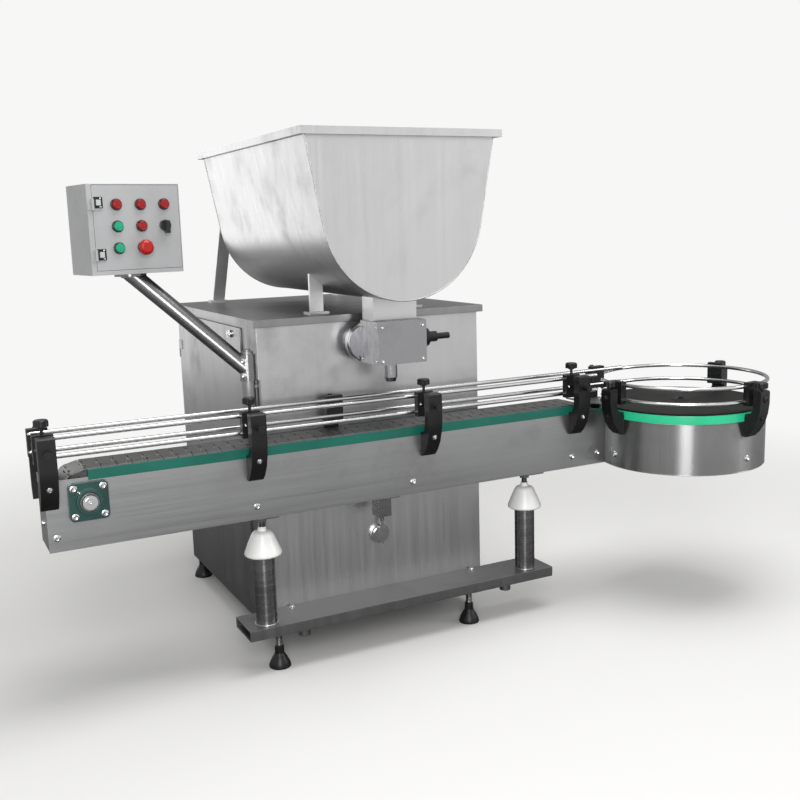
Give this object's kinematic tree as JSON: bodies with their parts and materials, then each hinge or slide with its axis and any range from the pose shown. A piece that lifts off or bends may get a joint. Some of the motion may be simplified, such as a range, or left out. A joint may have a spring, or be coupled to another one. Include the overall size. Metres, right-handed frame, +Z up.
{
  "type": "honey filling machine",
  "caption": "Piston filling machine: U-shaped hopper on a sheet steel cabinet, slat conveyor with guide rods, round collecting turntable and swing-arm control box.",
  "frame": {"origin": "centre of the machine's outline, on the floor", "axes": "+X along the conveyor from its drive end to the turntable, +Y from the conveyor to the rear of the cabinet, +Z up"},
  "size_m": [2.2402, 1.3592, 1.466],
  "materials": {
    "cabinet_steel": "satin, brushed upwards",
    "plate_steel": "satin, brushed along the conveyor",
    "hopper_steel": "satin",
    "drum_steel": "satin, brushed round the drum",
    "tube_steel": "fine ground",
    "chain_steel": "worn smooth",
    "bright_trim": "polished",
    "polished_steel": "polished",
    "valve_steel": "machined",
    "black_plastic": "fine grain",
    "disc_plastic": "semi-matte, rubbed",
    "white_plastic": "semi-gloss",
    "green_plastic": "smooth",
    "sprocket_plastic": "moulded",
    "bearing_iron": "painted casting",
    "motor_paint": "satin paint",
    "cylinder_aluminium": "anodised",
    "box_paint": "fine textured paint",
    "red_button": "gloss",
    "green_button": "gloss",
    "selector_black": "semi-gloss"
  },
  "bodies": {
    "machine": {"cabinet_shell": "cabinet_steel", "front_panel": "cabinet_steel", "cabinet_lid": "cabinet_steel", "base_rail": "cabinet_steel", "arm_post": "cabinet_steel", "front_side_plate": "plate_steel", "rear_side_plate": "plate_steel", "cross_members": "plate_steel", "transfer_plate": "plate_steel", "hopper": "hopper_steel", "hopper_legs": "hopper_steel", "hopper_neck": "hopper_steel", "table_drum": "drum_steel", "posts": "tube_steel", "height_screws": "tube_steel", "slat_chain": "chain_steel", "frame_bolts": "bright_trim", "guide_rings": "bright_trim", "product_cylinder": "polished_steel", "tube_clamp": "polished_steel", "filling_nozzle": "polished_steel", "valve_block": "valve_steel", "levelling_feet": "black_plastic", "guide_brackets": "black_plastic", "guide_knobs": "black_plastic", "ring_brackets": "black_plastic", "post_caps": "white_plastic", "wear_strips": "green_plastic", "table_rim": "green_plastic", "shaft_bearings": "bearing_iron", "gearmotor": "motor_paint", "table_drive": "motor_paint", "air_cylinder": "cylinder_aluminium"},
    "side_door": {"service_door": "cabinet_steel"},
    "door_lock": {"door_lock": "bright_trim"},
    "panel_latch": {"panel_latch": "bright_trim"},
    "drive": {"drive_shaft": "tube_steel", "drive_sprockets": "sprocket_plastic"},
    "idler": {"idler_sprockets": "sprocket_plastic"},
    "front_guides": {"front_guide_rods": "bright_trim", "front_guide_clips": "black_plastic"},
    "rear_guides": {"rear_guide_rods": "bright_trim", "rear_guide_clips": "black_plastic"},
    "table": {"table_disc": "disc_plastic", "table_shaft": "tube_steel"},
    "valve": {"valve_plug": "valve_steel", "valve_handle": "black_plastic"},
    "piston": {"product_piston": "valve_steel"},
    "arm": {"swing_arm": "cabinet_steel", "control_box": "box_paint"},
    "box_door": {"box_door": "box_paint", "button_bezels": "bright_trim"},
    "red_1": {"red_button_1": "red_button"},
    "red_2": {"red_button_2": "red_button"},
    "red_3": {"red_button_3": "red_button"},
    "red_4": {"red_button_4": "red_button"},
    "green_1": {"green_button_1": "green_button"},
    "green_2": {"green_button_2": "green_button"},
    "selector": {"selector_knob": "selector_black"},
    "stop": {"stop_button": "red_button"}
  },
  "joints": [
    {"name": "side_door_hinge", "type": "hinge", "parent": "machine", "child": "side_door", "pos_m": [-0.50965, 0.64365, 0.52], "axis": [0, 0, -1], "range_deg": [0, 110]},
    {"name": "door_lock_turn", "type": "hinge", "parent": "side_door", "child": "door_lock", "pos_m": [-0.51115, 0.05765, 0.918], "axis": [1, 0, 0], "range_deg": [0, 90]},
    {"name": "panel_latch_turn", "type": "hinge", "parent": "machine", "child": "panel_latch", "pos_m": [-0.15315, -0.15235, 0.311], "axis": [0, 1, 0], "range_deg": [0, 90]},
    {"name": "drive_spin", "type": "hinge", "parent": "machine", "child": "drive", "pos_m": [-1.00315, -0.23236, 0.576], "axis": [0, 1, 0], "continuous": true},
    {"name": "idler_spin", "type": "hinge", "parent": "machine", "child": "idler", "pos_m": [0.48275, -0.23236, 0.576], "axis": [0, 1, 0], "continuous": true},
    {"name": "front_guide_shift", "type": "slide", "parent": "machine", "child": "front_guides", "axis": [0, 1, 0], "range_m": [-0.012, 0.015]},
    {"name": "rear_guide_shift", "type": "slide", "parent": "machine", "child": "rear_guides", "axis": [0, 1, 0], "range_m": [-0.008, 0.004]},
    {"name": "table_spin", "type": "hinge", "parent": "machine", "child": "table", "pos_m": [0.82485, -0.36735, 0.64], "axis": [0, 0, 1], "continuous": true},
    {"name": "valve_turn", "type": "hinge", "parent": "machine", "child": "valve", "pos_m": [-0.14315, -0.24535, 0.898], "axis": [-1, 0, 0], "range_deg": [0, 90]},
    {"name": "piston_stroke", "type": "slide", "parent": "machine", "child": "piston", "axis": [0, 1, 0], "range_m": [0, 0.15]},
    {"name": "arm_swing", "type": "hinge", "parent": "machine", "child": "arm", "pos_m": [-0.53215, -0.14636, 0.844], "axis": [0, 0, 1], "range_deg": [-45, 60]},
    {"name": "box_door_hinge", "type": "hinge", "parent": "arm", "child": "box_door", "pos_m": [-0.91076, -0.1523, 1.23], "axis": [0, 0, -1], "range_deg": [0, 120]},
    {"name": "red_1_press", "type": "slide", "parent": "box_door", "child": "red_1", "axis": [-0.1736, 0.9848, 0], "range_m": [0, 0.004], "stiffness_N_per_m": 400},
    {"name": "red_2_press", "type": "slide", "parent": "box_door", "child": "red_2", "axis": [-0.1736, 0.9848, 0], "range_m": [0, 0.004], "stiffness_N_per_m": 400},
    {"name": "red_3_press", "type": "slide", "parent": "box_door", "child": "red_3", "axis": [-0.1736, 0.9848, 0], "range_m": [0, 0.004], "stiffness_N_per_m": 400},
    {"name": "red_4_press", "type": "slide", "parent": "box_door", "child": "red_4", "axis": [-0.1736, 0.9848, 0], "range_m": [0, 0.004], "stiffness_N_per_m": 400},
    {"name": "green_1_press", "type": "slide", "parent": "box_door", "child": "green_1", "axis": [-0.1736, 0.9848, 0], "range_m": [0, 0.004], "stiffness_N_per_m": 400},
    {"name": "green_2_press", "type": "slide", "parent": "box_door", "child": "green_2", "axis": [-0.1736, 0.9848, 0], "range_m": [0, 0.004], "stiffness_N_per_m": 400},
    {"name": "stop_press", "type": "slide", "parent": "box_door", "child": "stop", "axis": [-0.1736, 0.9848, 0], "range_m": [0, 0.005], "stiffness_N_per_m": 500},
    {"name": "selector_turn", "type": "hinge", "parent": "box_door", "child": "selector", "pos_m": [-0.7254, -0.11515, 1.2325], "axis": [-0.1736, 0.9848, 0], "range_deg": [-45, 45]}
  ],
  "couplings": [
    {"joint": "idler_spin", "follows": "drive_spin", "ratio": 1}
  ]
}
